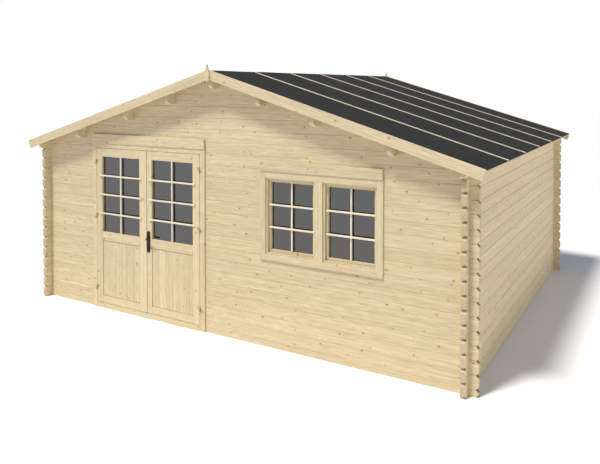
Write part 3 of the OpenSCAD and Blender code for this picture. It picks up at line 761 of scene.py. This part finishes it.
def stadium(wide, tall, around):
    # a circle whose upper and lower halves are pulled apart
    angle = np.linspace(0, 2 * math.pi, around, endpoint=False) + math.pi / around
    radius = wide / 2
    return np.cos(angle), np.sin(angle), radius, np.sign(np.sin(angle)) * (tall / 2 - radius)


def roundedPlate(centreX, centreZ, wide, tall, baseY, outward, rise, soft, around=40):
    # the outline steps in along a quarter round towards its face
    x, z, radius, shift = stadium(wide, tall, around)
    turn = np.linspace(0, math.pi / 2, 6)
    inset = np.concatenate([[0.0], soft * (1 - np.cos(turn))])[:, None]
    height = np.concatenate([[0.0], rise - soft + soft * np.sin(turn)])[:, None]
    return np.stack([centreX + (radius - inset) * x, baseY + outward * height + 0 * x,
                     centreZ + (radius - inset) * z + shift], axis=-1)[None]


def plateSet(baseY, outward):
    centreX = (plateLow.x + plateHigh.x) / 2
    centreZ = (plateLow.z + plateHigh.z) / 2
    wide = plateHigh.x - plateLow.x
    rise = leafLow.y - hair - plateLow.y
    faceY = baseY + outward * rise
    return [roundedPlate(centreX, centreZ, wide, plateHigh.z - plateLow.z, baseY, outward, rise,
                         handle["plateSoft"]),
            roundedPlate(spindle[0], spindle[2], 2 * handle["rose"], 2 * handle["rose"], faceY, outward,
                         handle["roseRise"], handle["roseSoft"]),
            roundedPlate(centreX, spindle[2] - handle["keyDrop"], handle["coverWide"], handle["coverTall"],
                         faceY, outward, handle["coverRise"], handle["coverSoft"])]


plates = plateSet(leafLow.y - hair, -1) + plateSet(leafHigh.y + hair, 1)
makePiece("handlePlates", plates, black, "right_door", ("handle_plates",), smooth=True)


def leverRings(faceY, outward, reach, length):
    # a round bar leaves the rose, turns through a quarter circle and runs on level, flatter and tapering
    bend = handle["bend"]
    neckRun = np.linspace(0, reach - bend, 5)[:-1]
    turn = np.linspace(0, math.pi / 2, 9)
    grip = np.linspace(0, 1, 14)[1:]
    along = np.concatenate([0 * neckRun, bend * (1 - np.cos(turn)), bend + (length - bend) * grip])
    outside = np.concatenate([neckRun, reach - bend + bend * np.sin(turn), reach + 0 * grip])
    drop = np.concatenate([0 * neckRun, 0 * turn, handle["droop"] * np.sin(grip * math.pi / 2) ** 2])
    path = np.stack([spindle[0] + along, faceY + outward * outside, spindle[2] - drop], axis=1)
    tangent = unit(np.gradient(path, axis=0))[0]
    normal = unit(np.cross(tangent, (0.0, 0.0, 1.0)))[0]
    upright = np.cross(normal, tangent)
    share = np.linspace(0, 1, len(path))
    radius = handle["neck"] + (handle["grip"] - handle["neck"]) * share
    ending = np.sqrt(np.clip(1 - np.clip((grip - 0.86) / 0.14, 0, 1) ** 2, 0.02, 1))
    radius[-len(grip):] *= ending
    taller = 1 + 0.35 * np.clip((share - 0.35) / 0.3, 0, 1)
    angle = np.linspace(0, 2 * math.pi, handle["around"], endpoint=False)
    ring = (normal[:, None] * np.cos(angle)[:, None] * radius[:, None, None] * 0.92
            + upright[:, None] * np.sin(angle)[:, None] * (radius * taller)[:, None, None])
    return (path[:, None] + ring)[None]


outsideFace = plateLow.y - handle["roseRise"]
insideFace = plateHigh.y + handle["roseRise"]
leverLength = leverHigh.x - spindle[0]
leverReach = outsideFace - leverLow.y - handle["gripOut"]
levers = [leverRings(outsideFace + handle["sunk"], -1, leverReach, leverLength),
          leverRings(insideFace - handle["sunk"], 1, leverReach, leverLength)]
angle = np.linspace(0, 2 * math.pi, handle["shaftAround"], endpoint=False)
shaft = np.stack([spindle[0] + handle["shaft"] * np.cos(angle), 0 * angle,
                  spindle[2] + handle["shaft"] * np.sin(angle)], axis=-1)
levers.append(np.stack([shaft + (0, outsideFace, 0), shaft + (0, insideFace, 0)])[None])
makePiece("handleLevers", levers, black, "handle", ("handle_levers",), smooth=True)
print("hinges and handle dressed")

# floor, sun, fill and sky
stage = dict(reach=60.0, floor=rgba(0.948, 0.937, 0.935))
lights = dict(sun=2.84, sunAngle=10.0, sunFrom=(-0.19, -0.41, 0.89), sunColour=(1.035, 1.01, 0.965),
              fill=113.0, fillSize=(7.0, 1.0), fillAt=(10.0, -0.6, 0.6), fillTo=(2.4, 0.0, 1.0),
              fillColour=(1.03, 0.985, 1.0), sky=0.28, skyColour=rgba(0.79, 0.92, 1.17))

reach = stage["reach"]
floorMesh = bpy.data.meshes.new("floor")
floorMesh.from_pydata(np.array([[-1, -1, 0], [1, -1, 0], [1, 1, 0], [-1, 1, 0]]) * reach, [], [(0, 1, 2, 3)])
floor = bpy.data.objects.new("floor", floorMesh)
bpy.context.scene.collection.objects.link(floor)
floorMesh.materials.append(newFinish("floor").surface(
    {"Base Color": stage["floor"], "Roughness": 0.9, "Specular IOR Level": 0.0}))


def lamp(name, kind, energy, at, towards):
    data = bpy.data.lights.new(name, kind)
    data.energy = energy
    made = bpy.data.objects.new(name, data)
    made.location = at
    made.rotation_euler = (Vector(towards) - Vector(at)).to_track_quat("-Z", "Y").to_euler()
    bpy.context.scene.collection.objects.link(made)
    return made


sun = lamp("sun", "SUN", lights["sun"], Vector(lights["sunFrom"]) * 10, (0, 0, 0))
sun.data.angle = math.radians(lights["sunAngle"])
sun.data.color = lights["sunColour"]
fill = lamp("fill", "AREA", lights["fill"], lights["fillAt"], lights["fillTo"])
fill.data.shape = "RECTANGLE"
fill.data.size, fill.data.size_y = lights["fillSize"]
fill.data.color = lights["fillColour"]
fill.visible_glossy = False

sky = Finish(bpy.data.worlds.new("sky"))
ray = sky.node("ShaderNodeLightPath", None, None, out="Is Camera Ray")
seen = (ray + ray.out("Is Glossy Ray") + ray.out("Is Transmission Ray")).least(1.0)
strength = lights["sky"] + (1.0 - lights["sky"]) * seen
colour = sky.blend(seen, lights["skyColour"], rgba(1.0, 1.0, 1.0))
glow = sky.node("ShaderNodeBackground", None, {"Color": colour, "Strength": strength})
sky.node("ShaderNodeOutputWorld", None, {"Surface": glow})
bpy.context.scene.world = sky.owner
print("stage lit")
